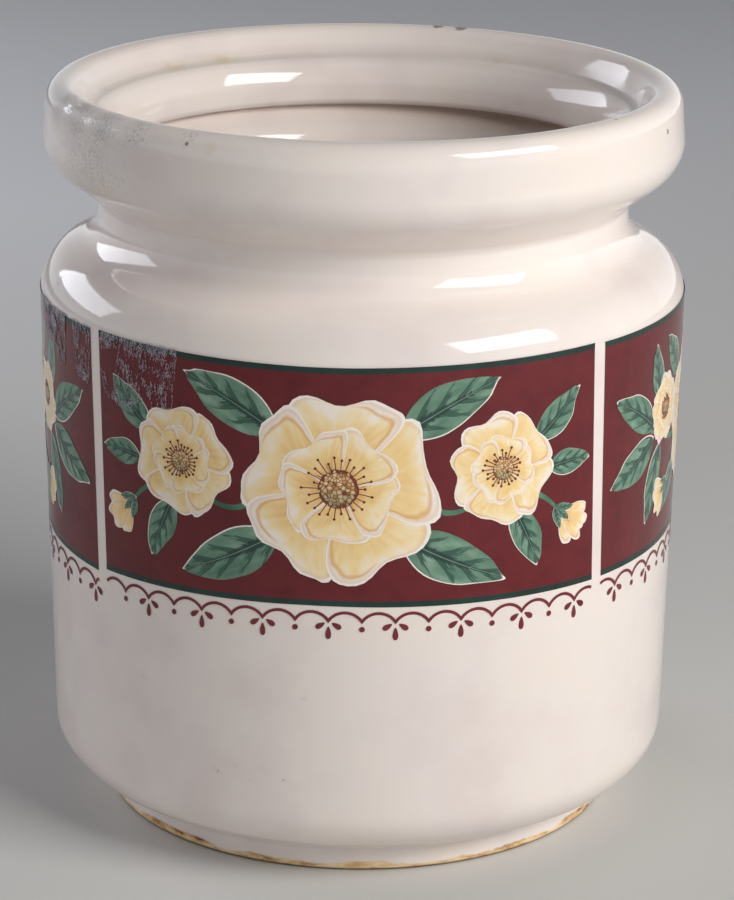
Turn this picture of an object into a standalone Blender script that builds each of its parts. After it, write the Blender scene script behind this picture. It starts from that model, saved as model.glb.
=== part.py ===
"""Collared kitchen canister, slip-cast earthenware, standing open without its lid.

Units are metres, +Z is up. The origin is on the canister's axis, in the plane that the foot stands on.
The front is at -Y, and angles run from there towards +X.
One cast and glazed body carries four thin fired-on prints round its wall.
Heights near the foot are measured up from the floor, and the ones above the drum down from the lip.
"""

import bpy
import bmesh
from math import acos, atan2, ceil, cos, hypot, pi, radians, sin, tan
from mathutils import Matrix, Vector

# Overall sizes
HEIGHT = 0.1802
DRUM_RADIUS = 0.0790
WALL = 0.0064

# Foot ring and the crease above it
FOOT_SET_IN = 0.0138
FOOT_LAND = 0.0052
FOOT_EDGE_FILLET = 0.0009
FOOT_RECESS_DEPTH = 0.0030
FOOT_RECESS_DRAFT = 0.0012
CREASE_SET_IN = 0.0011
CREASE_HEIGHT = 0.0056
CREASE_FILLET = 0.0020

# Drum, which widens a little upwards
DRUM_TAPER = 0.0024
HEEL_RISE = 0.0069
HEEL_FILLET = 0.0111
SHOULDER_RISE = 0.0074
SHOULDER_FILLET = 0.0111

# Neck groove
NECK_SET_IN = 0.0143
NECK_LENGTH = 0.0090
NECK_LOW_FILLET = 0.0075
NECK_HIGH_FILLET = 0.0030

# Collar and lip
COLLAR_SET_IN = 0.0010
COLLAR_UNDERSIDE_RISE = 0.0100
COLLAR_DEPTH = 0.0176
COLLAR_TAPER = 0.0014
COLLAR_LOW_FILLET = 0.0089
LIP_WIDTH = 0.0064
LIP_OUTER_FILLET = 0.0044
LIP_INNER_FILLET = 0.0038

# Seat for a lid inside the collar, a flange that overhangs the neck's bore
GROOVE_SET_IN = 0.0040
GROOVE_DEPTH = 0.0070
GROOVE_FILLET = 0.0020
GROOVE_WIDTH = 0.0015
GROOVE_FALL = 0.0004
GROOVE_EDGE_FILLET = 0.0015
SEAT_WIDTH = 0.0050
SEAT_DROP = 0.0036
SEAT_FILLET = 0.0100
FLANGE_TAPER = 0.0004
FLANGE_DEPTH = 0.0193
FLANGE_FILLET = 0.0018
POCKET_REACH = 0.0054
POCKET_WALL = 0.0054
POCKET_FILLET = 0.0010
BORE_FILLET = 0.0090

# Floor of the hollow
BASE_THICKNESS = 0.0066
FLOOR_SET_IN = 0.0130
FLOOR_FILLET = 0.0060
HOLLOW_HEEL_FILLET = 0.0090

# Prints
PRINT_CLEARANCE = 0.0003
PRINT_THICKNESS = 0.0003
PRINT_DROP = 0.0068
PRINT_LENGTH = 0.0563
PRINT_SPACING = 0.0036
WIDE_PRINT_ARC = radians(96.0)
NARROW_PRINT_ARC = pi - WIDE_PRINT_ARC

# Facets
TURN_STEPS = 64
LEAST_ARC_STEPS = 2
CHORD_ERROR = 0.00015
MERGE_DISTANCE = 0.000006
SIDE_USE = 0.98
SMOOTH_ANGLE = radians(35.0)

# Finishes: name, colour, roughness
GLAZE = ("cream_glazed_earthenware", (0.80, 0.74, 0.67, 1.0), 0.18)
PRINT_ENAMEL = ("maroon_fired_enamel", (0.13, 0.028, 0.032, 1.0), 0.22)

# Corners of the outside, before they are rounded: (radius, height)
DRUM_LOW_RADIUS = DRUM_RADIUS - DRUM_TAPER
FOOT_RADIUS = DRUM_LOW_RADIUS - FOOT_SET_IN
NECK_RADIUS = DRUM_RADIUS - NECK_SET_IN
COLLAR_RADIUS = DRUM_RADIUS - COLLAR_SET_IN
COLLAR_TOP_RADIUS = COLLAR_RADIUS - COLLAR_TAPER
LIP_BORE_RADIUS = COLLAR_TOP_RADIUS - LIP_WIDTH
COLLAR_LOW_HEIGHT = HEIGHT - COLLAR_DEPTH
NECK_HIGH_HEIGHT = COLLAR_LOW_HEIGHT - COLLAR_UNDERSIDE_RISE
NECK_LOW_HEIGHT = NECK_HIGH_HEIGHT - NECK_LENGTH
CREASE = (FOOT_RADIUS - CREASE_SET_IN, CREASE_HEIGHT)
HEEL = (DRUM_LOW_RADIUS, CREASE_HEIGHT + HEEL_RISE)
SHOULDER = (DRUM_RADIUS, NECK_LOW_HEIGHT - SHOULDER_RISE)
NECK_LOW = (NECK_RADIUS, NECK_LOW_HEIGHT)
NECK_HIGH = (NECK_RADIUS, NECK_HIGH_HEIGHT)
COLLAR_LOW = (COLLAR_RADIUS, COLLAR_LOW_HEIGHT)


def clear_scene():
    """Empty the scene of whatever it holds."""
    for item in list(bpy.data.objects):
        bpy.data.objects.remove(item, do_unlink=True)


def finish_material(spec):
    """Principled material of one colour and roughness."""
    name, colour, roughness = spec
    material = bpy.data.materials.new(name)
    material.use_nodes = True
    shader = material.node_tree.nodes["Principled BSDF"]
    shader.inputs["Base Color"].default_value = colour
    shader.inputs["Roughness"].default_value = roughness
    shader.inputs["Metallic"].default_value = 0.0
    material.diffuse_color = colour
    return material


def corner_turn(before, corner, after):
    """Angle by which an outline turns at a corner."""
    to_before = (before - corner).normalized()
    to_after = (after - corner).normalized()
    return pi - acos(max(-1.0, min(1.0, to_before.dot(to_after))))


def corner_arc(before, corner, after, setback):
    """Points of the round that replaces a corner, touching its two sides at the setback."""
    to_before = (before - corner).normalized()
    to_after = (after - corner).normalized()
    turn = corner_turn(before, corner, after)
    fillet = setback / tan(turn / 2)
    centre = corner + (to_before + to_after).normalized() * hypot(fillet, setback)
    start = corner + to_before * setback - centre
    end = corner + to_after * setback - centre
    first = atan2(start.y, start.x)
    sweep = (atan2(end.y, end.x) - first + pi) % (2 * pi) - pi
    step = 2 * acos(1 - min(CHORD_ERROR / fillet, 1.0))
    steps = max(LEAST_ARC_STEPS, ceil(turn / step))
    angles = [first + sweep * i / steps for i in range(steps + 1)]
    return [centre + Vector((cos(a), sin(a))) * fillet for a in angles]


def side_room(start, end, setbacks):
    """Share of the setbacks at its two ends that a side is long enough for."""
    usable = SIDE_USE * (end - start).length
    return usable / max(setbacks, usable)


def rounded_outline(corners):
    """Outline through (radius, height, fillet) corners; a fillet is limited by its two sides."""
    points = [Vector(corner[:2]) for corner in corners]
    inside = range(1, len(corners) - 1)
    setbacks = [0.0] * len(corners)
    for i in inside:
        setbacks[i] = corners[i][2] * tan(corner_turn(*points[i - 1:i + 2]) / 2)
    room = [
        side_room(points[i], points[i + 1], setbacks[i] + setbacks[i + 1])
        for i in range(len(corners) - 1)
    ]
    outline = [points[0]]
    for i in inside:
        if setbacks[i]:
            setback = setbacks[i] * min(room[i - 1], room[i])
            outline += corner_arc(*points[i - 1:i + 2], setback)
        else:
            outline.append(points[i])
    return outline + [points[-1]]


def offset_line_radius(start, end, offset, height):
    """Radius at a height on the line start to end, moved sideways by offset to its left."""
    along = (Vector(end) - Vector(start)).normalized()
    moved = Vector(start) + Vector((-along.y, along.x)) * offset
    return moved.x + along.x * (height - moved.y) / along.y


def offset_line_height(start, end, offset, radius):
    """Height at a radius on the line start to end, moved sideways by offset to its left."""
    along = (Vector(end) - Vector(start)).normalized()
    moved = Vector(start) + Vector((-along.y, along.x)) * offset
    return moved.y + along.y * (radius - moved.x) / along.x


def outer_corners():
    """Corners of the outside, from the centre of the underside up to the lip."""
    foot_inner = FOOT_RADIUS - FOOT_LAND
    return [
        (0.0, FOOT_RECESS_DEPTH, 0.0),
        (foot_inner - FOOT_RECESS_DRAFT, FOOT_RECESS_DEPTH, 0.0),
        (foot_inner, 0.0, FOOT_EDGE_FILLET),
        (FOOT_RADIUS, 0.0, FOOT_EDGE_FILLET),
        (*CREASE, CREASE_FILLET),
        (*HEEL, HEEL_FILLET),
        (*SHOULDER, SHOULDER_FILLET),
        (*NECK_LOW, NECK_LOW_FILLET),
        (*NECK_HIGH, NECK_HIGH_FILLET),
        (*COLLAR_LOW, COLLAR_LOW_FILLET),
        (COLLAR_TOP_RADIUS, HEIGHT, LIP_OUTER_FILLET),
        (LIP_BORE_RADIUS, HEIGHT, LIP_INNER_FILLET),
    ]


def inner_corners():
    """Corners of the hollow, from below the lip down to the centre of the floor."""
    groove_radius = LIP_BORE_RADIUS - GROOVE_SET_IN
    groove_height = HEIGHT - GROOVE_DEPTH
    flange_radius = groove_radius - SEAT_WIDTH
    pocket_radius = flange_radius + POCKET_REACH
    neck_bore = NECK_RADIUS - WALL
    drum_bore = offset_line_radius(HEEL, SHOULDER, WALL, SHOULDER[1])
    heel_bore = offset_line_radius(HEEL, SHOULDER, WALL, HEEL[1])
    floor_height = FOOT_RECESS_DEPTH + BASE_THICKNESS
    pocket_height = offset_line_height(NECK_HIGH, COLLAR_LOW, POCKET_WALL, pocket_radius)
    bore_height = offset_line_height(NECK_HIGH, COLLAR_LOW, POCKET_WALL, neck_bore)
    neck_height = offset_line_height(SHOULDER, NECK_LOW, WALL, neck_bore)
    shoulder_height = offset_line_height(SHOULDER, NECK_LOW, WALL, drum_bore)
    heel_height = offset_line_height(CREASE, HEEL, WALL, heel_bore)
    return [
        (groove_radius, groove_height, GROOVE_FILLET),
        (groove_radius - GROOVE_WIDTH, groove_height - GROOVE_FALL, GROOVE_EDGE_FILLET),
        (flange_radius + FLANGE_TAPER, groove_height - SEAT_DROP, SEAT_FILLET),
        (flange_radius, HEIGHT - FLANGE_DEPTH, FLANGE_FILLET),
        (pocket_radius, pocket_height, POCKET_FILLET),
        (neck_bore, bore_height, BORE_FILLET),
        (neck_bore, neck_height, NECK_LOW_FILLET + WALL),
        (drum_bore, shoulder_height, SHOULDER_FILLET - WALL),
        (heel_bore, heel_height, HOLLOW_HEEL_FILLET),
        (heel_bore - FLOOR_SET_IN, floor_height, FLOOR_FILLET),
        (0.0, floor_height, 0.0),
    ]


def turned(name, outline, start_angle=0.0, sweep=2 * pi):
    """Mesh object of a (radius, height) outline turned about Z, a capped closed one for less than a turn."""
    full = sweep == 2 * pi
    shape = bmesh.new()
    ring = [shape.verts.new((point.x, 0.0, point.y)) for point in outline]
    pairs = list(zip(ring, ring[1:]))
    if not full:
        pairs.append((ring[-1], ring[0]))
    edges = [shape.edges.new(pair) for pair in pairs]
    result = bmesh.ops.spin(
        shape,
        geom=ring + edges,
        cent=(0.0, 0.0, 0.0),
        axis=(0.0, 0.0, 1.0),
        dvec=(0.0, 0.0, 0.0),
        angle=sweep,
        steps=ceil(TURN_STEPS * sweep / (2 * pi)),
        use_merge=full,
        use_duplicate=False,
    )
    if not full:
        last = [item for item in result["geom_last"] if isinstance(item, bmesh.types.BMVert)]
        shape.faces.new(ring)
        shape.faces.new(last)
    bmesh.ops.remove_doubles(shape, verts=shape.verts, dist=MERGE_DISTANCE)
    bmesh.ops.transform(shape, matrix=Matrix.Rotation(start_angle, 4, "Z"), verts=shape.verts)
    bmesh.ops.recalc_face_normals(shape, faces=shape.faces)
    mesh = bpy.data.meshes.new(name)
    shape.to_mesh(mesh)
    shape.free()
    mesh.shade_smooth()
    mesh.set_sharp_from_angle(angle=SMOOTH_ANGLE)
    item = bpy.data.objects.new(name, mesh)
    bpy.context.scene.collection.objects.link(item)
    return item


def make_body(glaze):
    """The cast and glazed body, hollow and open at the top."""
    body = turned("canister_body", rounded_outline(outer_corners() + inner_corners()))
    body.data.materials.append(glaze)
    return body


def make_print(name, middle, arc, enamel):
    """A thin curved print that lies along the drum's wall, centred on an angle."""
    high = SHOULDER[1] - PRINT_DROP
    low = high - PRINT_LENGTH
    high_radius = offset_line_radius(HEEL, SHOULDER, -PRINT_CLEARANCE, high)
    low_radius = offset_line_radius(HEEL, SHOULDER, -PRINT_CLEARANCE, low)
    section = [
        Vector((low_radius, low)),
        Vector((low_radius + PRINT_THICKNESS, low)),
        Vector((high_radius + PRINT_THICKNESS, high)),
        Vector((high_radius, high)),
    ]
    sweep = arc - PRINT_SPACING / high_radius
    front = -pi / 2
    sheet = turned(name, section, front + middle - sweep / 2, sweep)
    sheet.data.materials.append(enamel)
    return sheet


def build():
    """Make the whole canister."""
    clear_scene()
    make_body(finish_material(GLAZE))
    enamel = finish_material(PRINT_ENAMEL)
    make_print("front_print", 0.0, WIDE_PRINT_ARC, enamel)
    make_print("right_print", pi / 2, NARROW_PRINT_ARC, enamel)
    make_print("back_print", pi, WIDE_PRINT_ARC, enamel)
    make_print("left_print", -pi / 2, NARROW_PRINT_ARC, enamel)


build()
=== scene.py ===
"""Looks of an open, collared kitchen canister of cream-glazed earthenware.

Four maroon enamel panels with dark green edge lines run round the drum. Each holds a wild rose design,
and a scalloped lace edge hangs below it. Units are metres, +Z is up and the front is at -Y.
Angles round the canister run from the front towards +X.
"""

import random
import bpy
import bmesh
from math import atan2, ceil, cos, exp, hypot, pi, radians, sin, sqrt, tan
from mathutils import Matrix, Vector, noise
from mathutils.geometry import interpolate_bezier


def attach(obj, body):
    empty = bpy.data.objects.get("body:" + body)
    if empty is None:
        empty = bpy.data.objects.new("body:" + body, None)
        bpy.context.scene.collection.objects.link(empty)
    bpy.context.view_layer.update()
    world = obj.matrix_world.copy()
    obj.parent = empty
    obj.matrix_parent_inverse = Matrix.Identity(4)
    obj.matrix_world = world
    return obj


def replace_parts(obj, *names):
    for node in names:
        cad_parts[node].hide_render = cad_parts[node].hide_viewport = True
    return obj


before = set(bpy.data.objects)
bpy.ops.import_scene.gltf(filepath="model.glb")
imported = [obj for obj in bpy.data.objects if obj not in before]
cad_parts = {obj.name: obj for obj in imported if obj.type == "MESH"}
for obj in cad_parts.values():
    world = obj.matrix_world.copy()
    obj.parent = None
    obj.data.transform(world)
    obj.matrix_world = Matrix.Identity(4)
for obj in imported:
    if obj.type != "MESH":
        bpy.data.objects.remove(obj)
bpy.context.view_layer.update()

MM = 0.001

# Camera, in pixels of a picture 734 wide and 900 high
PICTURE_WIDTH = 734
PICTURE_HEIGHT = 900
FOCAL_PIXELS = 3384.4
CENTRE_PIXEL = (360.75, 443.8)
SENSOR_WIDTH = 36.0
CAMERA_TURN = radians(3.65)
CAMERA_PITCH = radians(17.41)
CAMERA_ROLL = 0.0105
CAMERA_DISTANCE = 806.0 * MM
CAMERA_HEIGHT = 340.3 * MM

# Studio: the world's light fades from the walls' to the ceiling's as a direction's Z goes from 0 up to
# CEILING_START, and a painted pool of light makes the floor's paper palest within half of the pool's reach
# of its place
WALL_LIGHT = 1.06
CEILING_LIGHT = 0.04
CEILING_START = 0.58
FLOOR_SIZE = 4.0
LIGHT_POOL_PLACE = (-0.25, 1.0, 0.0)
LIGHT_POOL_REACH = 0.8
FLOOR_ROUGHNESS = 0.9
LAMP_DISTANCE = 1.25
# Lamps: name, angle round from the front, angle above the floor, width, height, power in watts, colour
LAMPS = [
    ("key_softbox", radians(57.5), radians(30.5), 0.74, 0.48, 12.7, "FFFDFA"),
    ("left_softbox", radians(-118.5), radians(20.5), 0.94, 0.40, 5.0, "F4F6FF"),
]

# Body outline
HEIGHT = 180.2 * MM
DRUM_RADIUS = 79.0 * MM
WALL = 6.4 * MM
FOOT_SET_IN = 13.8 * MM
FOOT_LAND = 5.2 * MM
FOOT_EDGE_FILLET = 0.9 * MM
FOOT_RECESS_DEPTH = 3.0 * MM
FOOT_RECESS_DRAFT = 1.2 * MM
CREASE_SET_IN = 1.1 * MM
CREASE_HEIGHT = 5.6 * MM
CREASE_FILLET = 2.0 * MM
DRUM_TAPER = 2.4 * MM
HEEL_RISE = 6.9 * MM
HEEL_FILLET = 11.1 * MM
SHOULDER_RISE = 7.4 * MM
SHOULDER_FILLET = 11.1 * MM
NECK_SET_IN = 14.3 * MM
NECK_LENGTH = 9.0 * MM
NECK_LOW_FILLET = 7.5 * MM
NECK_HIGH_FILLET = 3.0 * MM
COLLAR_SET_IN = 1.0 * MM
COLLAR_UNDERSIDE_RISE = 10.0 * MM
COLLAR_DEPTH = 17.6 * MM
COLLAR_TAPER = 1.4 * MM
COLLAR_LOW_FILLET = 8.9 * MM
LIP_WIDTH = 6.4 * MM
LIP_OUTER_FILLET = 4.4 * MM
LIP_INNER_FILLET = 3.8 * MM
GROOVE_SET_IN = 4.0 * MM
GROOVE_DEPTH = 7.0 * MM
GROOVE_FILLET = 2.0 * MM
GROOVE_WIDTH = 1.5 * MM
GROOVE_FALL = 0.4 * MM
GROOVE_EDGE_FILLET = 1.5 * MM
SEAT_WIDTH = 5.0 * MM
SEAT_DROP = 3.6 * MM
SEAT_FILLET = 10.0 * MM
FLANGE_TAPER = 0.4 * MM
FLANGE_DEPTH = 19.3 * MM
FLANGE_FILLET = 1.8 * MM
POCKET_REACH = 5.4 * MM
POCKET_WALL = 5.4 * MM
POCKET_FILLET = 1.0 * MM
BORE_FILLET = 9.0 * MM
BASE_THICKNESS = 6.6 * MM
FLOOR_SET_IN = 13.0 * MM
FLOOR_FILLET = 6.0 * MM
HOLLOW_HEEL_FILLET = 9.0 * MM

# Body mesh
ROUND_SEGMENTS = 8
SIDE_USE = 0.98
LONGEST_EDGE = 4.0 * MM
TURN_STEPS = 256
MERGE_DISTANCE = 0.005 * MM
CASTING_WAVE = 0.12 * MM
CASTING_WAVE_LENGTH = 45.0 * MM
SMOOTH_ANGLE = radians(35.0)

# Panels
PANEL_DROP = 6.3 * MM
PANEL_HEIGHT = 57.1 * MM
PANEL_SPACING = 3.6 * MM
WIDE_PANEL_ARC = radians(96.0)
NARROW_PANEL_ARC = pi - WIDE_PANEL_ARC
EDGE_LINE = 1.35 * MM
PANEL_CELL = 2.0 * MM
FILM = 0.05 * MM
GROUND_LIFT = 0.10 * MM
LINE_LIFT = 0.13 * MM

# Lace below the panels
LACE_DROP = 1.5 * MM
LACE_LINE = 0.7 * MM
SCALLOP_STEP = 7.87 * MM
SCALLOP_RISE = 2.1 * MM
SCALLOP_POINTS = 12
LACE_END = 1.4 * MM
DOT_RADIUS = 0.68 * MM
DOT_DROP = 1.9 * MM
DOT_SIDES = 12
DROP_SPREAD = radians(58.0)
SIDE_DROP_START = 1.0 * MM
SIDE_DROP_LENGTH = 2.5 * MM
SIDE_DROP_WIDTH = 1.35 * MM
MIDDLE_DROP_START = 1.4 * MM
MIDDLE_DROP_LENGTH = 3.1 * MM
MIDDLE_DROP_WIDTH = 1.35 * MM
DROP_CELLS = 4

# Flower design, each layer a little further off the wall than what it covers
PATCH_CELLS = 12
STEM_LIFT = 0.15 * MM
LEAF_LIFT = 0.165 * MM
OUTER_PETAL_LIFT = 0.21 * MM
INNER_PETAL_LIFT = 0.245 * MM
CENTRE_LIFT = 0.265 * MM
STAMEN_LIFT = 0.28 * MM
ANTHER_LIFT = 0.29 * MM
LAYER = 0.012 * MM
PETAL_COUNT = 5
PETAL_RIPPLE = 0.10
LEAF_RIPPLE = 0.07
STEM_WIDTH = 1.5 * MM
STEM_POINTS = 16
LEAF_LAYERS = 3
STAMEN_COUNT = 26
STAMEN_WIDTH = 0.22 * MM
ANTHER_RADIUS = 0.34 * MM
ANTHER_SIDES = 8
STAMEN_NOISE_STEP = 1.7
BUD_SPREAD = radians(19.0)
BUD_SHORTENING = 3
SEPAL_SPREAD = radians(34.0)
MOTIF_STEPS = (0.37, 0.71)
# Outlines drawn from a disc: how its width changes along it, and what brings its widest place to 1
PETAL_MIDDLE = 0.56
PETAL_FLARE = 0.44
PETAL_WIDEST = 1.33
PETAL_NOTCH = 0.12
PETAL_NOTCH_WIDTH = 0.3
LEAF_POINT = 0.3
LEAF_TAPER = 0.25
LEAF_WIDEST = 2.04
DROP_MIDDLE = 0.70
DROP_FLARE = 0.30
DROP_WIDEST = 1.51
# Rings of a rose: half petals turned, then the foot's place, length and width as shares of its radius, lift
PETAL_RINGS = [(0, 0.05, 0.97, 1.14, OUTER_PETAL_LIFT), (1, 0.04, 0.58, 0.72, INNER_PETAL_LIFT)]
# Other shares of a rose's radius
BUTTON_SHARE = 0.42
STAMEN_START_SHARE = 0.19
STAMEN_END_SHARE = 0.34
STAMEN_SPREAD_SHARE = 0.10
STAMEN_STAGGER_SHARE = 0.05
# Shares of a bud's length
BUD_WIDTH_SHARE = 0.66
SEPAL_START_SHARE = -0.16
SEPAL_LENGTH_SHARE = 0.55
SEPAL_WIDTH_SHARE = 0.22

# Wear
RESIDUE_LIFT = 0.31 * MM
# Label fibres, in millimetres and degrees
FIBRE_ACROSS = 0.45
FIBRE_ALONG = 3.0
FIBRE_PATCH = 2.6
PATCH_SLICE = 9.0
FIBRE_LENGTHS = (0.2, 0.65)
FIBRE_WIDTHS = (0.05, 0.11)
FIBRE_SPREAD = 7.0
FIBRE_SHARE = 0.24
FIBRE_SIDES = 5
TOP_FIBRES = 0.9
TOP_BAND = 2.2
SIDE_STEP = 0.45
SIDE_GAP = 1.6
SIDE_BREAK = -0.08
BREAK_SLICE = 4.0
SIDE_JITTER = 0.08
SIDE_SPREAD = 4.0
# Torn labels: name, panel middle, corners from the top left round to the bottom left, fibres per mm2
LABELS = [
    ("front_label_residue", 0.0, [(-56.5, 130.2), (-39.2, 130.6), (-41.0, 115.8), (-60.3, 114.6)], 17.0),
    ("front_label_foot", 0.0, [(-59.8, 115.2), (-52.5, 115.2), (-54.0, 113.0), (-57.5, 113.2)], 10.0),
    ("front_corner_residue", 0.0, [(-64.4, 130.2), (-55.0, 130.2), (-57.5, 127.4), (-64.4, 126.0)], 16.0),
    ("front_corner_streak", 0.0, [(-64.0, 121.0), (-62.4, 120.4), (-60.8, 114.6), (-62.4, 114.8)], 11.0),
    ("left_label_residue", -pi / 2, [(23.0, 130.4), (43.4, 130.4), (42.6, 121.0), (30.5, 121.6)], 32.0),
    ("left_label_foot", -pi / 2, [(36.0, 121.4), (42.6, 121.4), (42.6, 116.6), (40.0, 116.8)], 14.0),
    ("left_corner_residue", -pi / 2, [(47.2, 130.4), (55.8, 130.4), (55.0, 117.4), (49.2, 118.8)], 16.0),
    ("left_corner_foot", -pi / 2, [(48.8, 119.2), (54.6, 118.2), (54.4, 116.2), (50.2, 116.8)], 10.0),
]
# Places on the glaze in degrees and millimetres: angle, height, radius from the axis, spread, strength
SCUFFS = [
    (-66.0, 178.2, 76.0, 9.0, 0.33), (-57.0, 178.0, 76.0, 10.0, 0.37), (-48.0, 178.2, 76.0, 9.0, 0.34),
    (-39.0, 178.8, 75.6, 8.0, 0.28), (-27.6, 179.4, 75.0, 5.0, 0.22), (-52.0, 172.0, 77.5, 26.0, 0.22),
    (70.7, 174.1, 77.1, 1.6, 0.22), (168.0, 180.2, 72.9, 2.5, 0.20), (-66.0, 135.0, 77.4, 4.5, 0.20),
    (-21.8, 28.4, 76.9, 2.2, 0.19), (-18.2, 30.5, 76.9, 1.6, 0.19), (-13.0, 30.3, 76.9, 1.5, 0.19),
    (-15.5, 27.3, 76.9, 1.3, 0.19), (-9.5, 28.3, 76.9, 1.3, 0.19), (-37.5, 48.0, 77.3, 3.5, 0.16),
    (-6.0, 50.0, 77.3, 2.5, 0.16), (120.0, 60.0, 77.5, 6.0, 0.17), (-120.0, 178.0, 76.0, 5.0, 0.24),
    (150.0, 25.0, 76.8, 4.0, 0.18),
]
CHIPS = [
    (168.4, 180.0, 72.5, 2.6, 0.9), (163.4, 180.0, 72.5, 3.6, 0.8), (70.7, 174.1, 77.1, 1.1, 0.9),
    (-27.6, 177.8, 76.5, 1.3, 0.65), (55.6, 180.0, 73.0, 0.7, 0.8), (68.0, 179.8, 73.0, 0.6, 0.8),
    (-32.2, 166.0, 77.8, 0.5, 0.8), (-141.0, 179.5, 75.0, 1.4, 0.8), (104.0, 176.0, 77.0, 1.0, 0.8),
]
STAINS = [
    (-23.0, 177.7, 77.0, 2.2, 0.35), (-41.1, 166.9, 77.8, 0.9, 0.45), (-129.0, 174.0, 66.6, 6.0, 0.60),
    (-143.0, 174.0, 66.6, 8.0, 0.60), (-100.0, 174.0, 66.6, 4.0, 0.40), (152.0, 174.0, 66.6, 5.0, 0.30),
]

# Patterns: a free share is that of the cells without a speck or pinhole, and the pinholes are drawn
# larger than real ones, so that they show
FULL_SHARE = 0.2
CLOUD_SIZE = 22.0 * MM
STAIN_SIZE = 3.0 * MM
STAIN_RISE = 1.6 * MM
FILM_AND_SHADE_RISE = 2.6 * MM
POCKET_SHADE_FALL = 7.0 * MM
SPECK_SPACING = 11.0 * MM
SPECK_FREE_SHARE = 0.86
SPECK_RADIUS = 0.4 * MM
SPECK_DEPTH = 0.03
SCUFF_SIZE = 0.7 * MM
SCUFF_DEPTH = 0.06
CHIP_DEPTH = 0.1
CLAY_LOW = 1.0 * MM
CLAY_HIGH = 2.0 * MM
CLAY_EDGE_SIZE = 16.0 * MM
CLAY_STAIN_SIZE = 5.0 * MM
CLAY_STAIN_STRETCH = 3.5
CONTACT_SHADOW_HEIGHT = 0.8 * MM
PEEL_SIZE = 6.0 * MM
PEEL_DEPTH = 0.012
GLAZE_ROUGHNESS = 0.08
INK_CLOUD_SIZE = 7.0 * MM
INK_DEPTH = 0.006
PINHOLE_SPACING = 4.5 * MM
PINHOLE_FREE_SHARE = 0.75
PINHOLE_RADIUS = 0.16 * MM
GROUND_ROUGHNESS = 0.16
PRINT_ROUGHNESS = 0.14
FIBRE_CLOUD_SIZE = 1.5 * MM
PAPER_ROUGHNESS = 0.7

# How far each mark covers what lies below it, and how much it roughens the surface
INSIDE_SHADE_COVER = 0.05
POCKET_SHADE_COVER = 0.85
POCKET_SHADE_LEFT_SHARE = 0.2
GROOVE_SHADE_COVER = 0.3
SPECK_COVER = 0.65
SCUFF_COVER = 0.6
CHIP_COVER = 0.85
CONTACT_SHADOW_COVER = 0.9
PINHOLE_COVER = 0.5
SCUFF_ROUGHENING = 0.4
FILM_ROUGHENING = 0.6
CHIP_ROUGHENING = 0.5
CLAY_ROUGHENING = 0.7

# Printed artwork, on a petal, leaf or button that reaches from -1 to 1: how fine its strokes are across,
# along and on their third axis, where a petal's strokes fan out from a point below its foot
STROKE_FAN_DEPTH = 1.15
LONG_STROKES = (13.0, 1.3, 1.0)
FINE_STROKES = (34.0, 2.4, 1.0)
STROKE_STOPS = (6.0, 0.0, 1.0)
LEAF_STROKES = (11.0, 1.6, 0.4)
PETAL_CLOUD_SCALE = 1.5
LEAF_CLOUD_SCALE = 1.8
SEED_SCALE = 4.6
SEED_RANDOMNESS = 0.7

# Corners before they are rounded
DRUM_LOW_RADIUS = DRUM_RADIUS - DRUM_TAPER
FOOT_RADIUS = DRUM_LOW_RADIUS - FOOT_SET_IN
NECK_RADIUS = DRUM_RADIUS - NECK_SET_IN
COLLAR_RADIUS = DRUM_RADIUS - COLLAR_SET_IN
COLLAR_TOP_RADIUS = COLLAR_RADIUS - COLLAR_TAPER
LIP_BORE_RADIUS = COLLAR_TOP_RADIUS - LIP_WIDTH
GROOVE_HEIGHT = HEIGHT - GROOVE_DEPTH
FLANGE_FOOT = HEIGHT - FLANGE_DEPTH
COLLAR_LOW_HEIGHT = HEIGHT - COLLAR_DEPTH
NECK_HIGH_HEIGHT = COLLAR_LOW_HEIGHT - COLLAR_UNDERSIDE_RISE
NECK_LOW_HEIGHT = NECK_HIGH_HEIGHT - NECK_LENGTH
CREASE = Vector((FOOT_RADIUS - CREASE_SET_IN, CREASE_HEIGHT))
HEEL = Vector((DRUM_LOW_RADIUS, CREASE_HEIGHT + HEEL_RISE))
SHOULDER = Vector((DRUM_RADIUS, NECK_LOW_HEIGHT - SHOULDER_RISE))
NECK_LOW = Vector((NECK_RADIUS, NECK_LOW_HEIGHT))
NECK_HIGH = Vector((NECK_RADIUS, NECK_HIGH_HEIGHT))
COLLAR_LOW = Vector((COLLAR_RADIUS, COLLAR_LOW_HEIGHT))
PANEL_TOP = SHOULDER.y - PANEL_DROP
PANEL_BOTTOM = PANEL_TOP - PANEL_HEIGHT


def srgb(code):
    """Linear colour from an sRGB hex code such as E6DCD0."""
    parts = [int(code[i:i + 2], 16) / 255 for i in (0, 2, 4)]
    return (*[p / 12.92 if p <= 0.04045 else ((p + 0.055) / 1.055) ** 2.4 for p in parts], 1.0)


def add(tree, kind, settings=None, links=None):
    """Add a shader node, set its properties, ramp stops or sockets, and link its inputs.

    A link comes from a named output, or from the first output of a node.
    """
    node = tree.nodes.new("ShaderNode" + kind)
    for name, value in (settings or {}).items():
        if name == "stops":
            node.color_ramp.elements.remove(node.color_ramp.elements[1])
            node.color_ramp.elements[0].position = value[0][0]
            node.color_ramp.elements[0].color = srgb(value[0][1])
            for position, code in value[1:]:
                node.color_ramp.elements.new(position).color = srgb(code)
        elif isinstance(name, str) and hasattr(node, name):
            setattr(node, name, value)
        else:
            node.inputs[name].default_value = value
    for name, source in (links or {}).items():
        tree.links.new(source.outputs[0] if hasattr(source, "outputs") else source, node.inputs[name])
    return node


def new_material(name):
    """Material with an empty node tree."""
    material = bpy.data.materials.new(name)
    material.use_nodes = True
    material.node_tree.nodes.clear()
    return material, material.node_tree


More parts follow.
